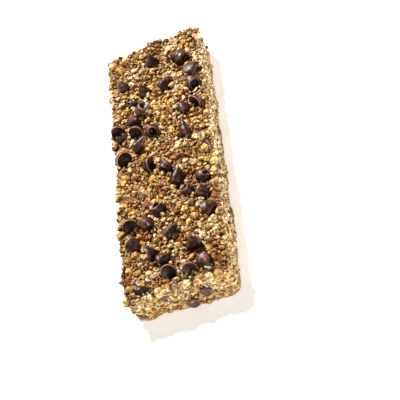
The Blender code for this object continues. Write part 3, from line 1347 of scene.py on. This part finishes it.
                # Painted dark under the skin and down the grain's creases, for syrup and as painted
                # shade
                soak = np.clip((self.soak_top - stands) / self.soak_depth, 0, 1)
                soak *= 1 - self.soak_loss * cut
                creased = creases * self.crease_soak * (1 - self.crease_soak_loss * cut)
                soak_and_shade_marks.append(np.maximum(soak, creased))
                points.append(grain)
                faces.append(shape_faces + count)
                tint = share(rng.random() + self.tone(point, cut))
                tints.append(np.full(len(grain), tint))
                cuts.append(np.full(len(grain), share(cut * 1.3 - 0.2)))
                count += len(grain)
                left -= 1
        placed = len(points)
        points, faces, *values = map(np.concatenate, (points, faces, tints, cuts, soak_and_shade_marks))
        attributes = dict(zip(("tint", "cut", "soak"), values))
        piece = mesh_piece(kind.name, points, faces, kind.finish.build(), attributes)
        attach(piece, BODY)
        LOG.info("%s: %d grains, %d faces", kind.name, placed, len(piece.data.polygons))
        return piece

    def build(self) -> None:
        """Places every kind, the largest first."""
        for number, kind in enumerate(self.kinds):
            self.scatter(kind, np.random.default_rng(SEED + number))


GRAIN_KINDS = (
    # The largest first
    GrainKind(
        "puffed_crisps",
        GrainShape.PUFFED,
        ToastedGrain(
            "puffed_rice_toasted_golden",
            0.4,
            tints=("#B0822E", "#CEA648", "#DEBE68", "#E8D498"),
            creaming=0.35,
            knob_depth_mm=0.15,
        ),
        (2.9 * MM, 4.0 * MM),
        (46, 16, 12),
        fineness=4,
        sunk=0.25,
        proud=1.4 * MM,
    ),
    GrainKind(
        "oat_flakes",
        GrainShape.FLAKE,
        ToastedGrain("rolled_oat_toasted_in_syrup", tints=("#9A6C34", "#C99C5C", "#E3C58E")),
        (2.6 * MM, 4.6 * MM),
        (10, 100, 24),
        lying=True,
        spacing=0.5,
    ),
    GrainKind(
        "golden_granules",
        GrainShape.CLUSTER,
        ToastedGrain(
            "oat_granules_baked_golden", 0.38, tints=("#926228", "#C49A46", "#D8B66A", "#E8D4A0")
        ),
        (2.1 * MM, 3.7 * MM),
        (430, 90, 70),
        sunk=0.0,
        proud=1.4 * MM,
        drifts=0.35,
        spacing=0.74,
    ),
    GrainKind(
        "caramel_granules",
        GrainShape.CLUSTER,
        ToastedGrain(
            "oat_granules_baked_to_caramel",
            0.42,
            tints=("#6E441C", "#AC7636", "#CCA058", "#E0C690"),
        ),
        (1.2 * MM, 2.1 * MM),
        (440, 110, 60),
        spacing=0.74,
    ),
    GrainKind(
        "cocoa_crumbs",
        GrainShape.CRUMB,
        MouldedChocolate("chocolate_crumbs"),
        (0.7 * MM, 1.6 * MM),
        (60, 90, 40),
        fineness=2,
        sunk=-0.1,
        slot="chocolate",
    ),
    GrainKind(
        "oat_crumbs",
        GrainShape.CRUMB,
        ToastedGrain(
            "oat_crumbs_toasted_in_syrup", 0.45, tints=("#6A3A1A", "#A46C34", "#C69856", "#DCC28C")
        ),
        (0.7 * MM, 1.4 * MM),
        (1100, 500, 200),
        fineness=2,
        sunk=0.0,
        spacing=0.7,
    ),
    GrainKind(
        "bran_slivers",
        GrainShape.SLIVER,
        ToastedGrain("bran_slivers", tints=("#7A4E22", "#B98A50", "#E2C290")),
        (1.4 * MM, 2.6 * MM),
        (60, 40, 15),
        fineness=2,
        sunk=-0.1,
        lying=True,
        spacing=0.3,
    ),
)


# --- The studio ---


@dataclass(frozen=True)
class SoftBox:
    """A soft light: where it stands about the bar, in degrees and metres, and its power in watts."""

    name: str
    azimuth: float
    elevation: float
    distance: float
    size: float
    power: float
    colour: str = "#FFFFFF"

    def build(self, centre: Vector) -> bpy.types.Object:
        """Stands the light up, facing the bar.

        Args:
            centre: the bar's middle.

        Returns:
            The light.
        """
        light = bpy.data.lights.new(self.name, "AREA")
        light.shape = "DISK"
        light.size = self.size
        light.energy = self.power
        light.color = linear(self.colour)[:3]
        lamp = add_object(self.name, light)
        a, e = math.radians(self.azimuth), math.radians(self.elevation)
        away = Vector((math.cos(a) * math.cos(e), math.sin(a) * math.cos(e), math.sin(e)))
        lamp.location = centre + away * self.distance
        lamp.rotation_euler = away.to_track_quat("Z", "Y").to_euler()
        return lamp


@dataclass
class Studio:
    """The floor, the lights and the camera. Angles are in degrees and lengths in metres."""

    board: PaintedBoard = PaintedBoard("painted_board")
    floor_size: float = 4.0
    ambient: float = 0.12
    boxes: tuple[SoftBox, ...] = (
        SoftBox("key_box", azimuth=116, elevation=55, distance=0.8, size=0.13, power=24.0),
        SoftBox("front_fill", azimuth=-55, elevation=9, distance=0.8, size=0.5, power=6.5),
    )
    azimuth: float = 17.92
    elevation: float = 46.06
    roll: float = -31.0
    distance: float = 407.8 * MM
    aim: tuple[float, float, float] = (4.51 * MM, -5.91 * MM, -7.09 * MM)
    lens_mm: float = 118.6

    def build_floor(self) -> bpy.types.Object:
        """Lays the floor.

        Returns:
            The floor, which is not attached to the bar.
        """
        bpy.ops.mesh.primitive_plane_add(size=self.floor_size)
        floor = bpy.context.object
        floor.name = "studio_floor"
        floor.data.materials.append(self.board.build())
        return floor

    def build_lights(self, centre: Vector) -> None:
        """Lights the studio softly.

        Args:
            centre: the bar's middle.
        """
        world = bpy.data.worlds.new("studio_air")
        world.use_nodes = True
        air = world.node_tree.nodes["Background"]
        air.inputs["Color"].default_value = linear("#FFFFFF")
        air.inputs["Strength"].default_value = self.ambient
        bpy.context.scene.world = world
        for box in self.boxes:
            box.build(centre)

    def build_camera(self) -> bpy.types.Object:
        """Stands the camera over the bar's near end.

        Returns:
            The camera, which is the scene's.
        """
        turns = ((self.azimuth, "Z"), (90 - self.elevation, "X"), (self.roll, "Z"))
        place = Matrix.Translation(self.aim)
        for degrees, axis in turns:
            place = place @ Matrix.Rotation(math.radians(degrees), 4, axis)
        place = place @ Matrix.Translation((0, 0, self.distance))
        lens = bpy.data.cameras.new("studio_camera")
        lens.lens = self.lens_mm
        camera = add_object("studio_camera", lens)
        camera.matrix_world = place
        bpy.context.scene.camera = camera
        return camera


def main() -> None:
    """Builds the studio and the bar, and reports each piece."""
    logging.basicConfig(level=logging.INFO, format="%(message)s")
    scene = bpy.context.scene
    scene.view_settings.view_transform = "Standard"
    low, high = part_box(SLAB_NODE)
    studio = Studio()
    studio.build_floor()
    studio.build_lights((low + high) / 2)
    studio.build_camera()
    drops = ChocolateDrops()
    piece = drops.build()
    LOG.info("%s: %d faces", piece.name, len(piece.data.polygons))
    core = SlabCore()
    piece = core.build()
    LOG.info("%s: %d faces", piece.name, len(piece.data.polygons))
    LooseGrain(core, drops, GRAIN_KINDS).build()


if __name__ == "__main__":
    main()
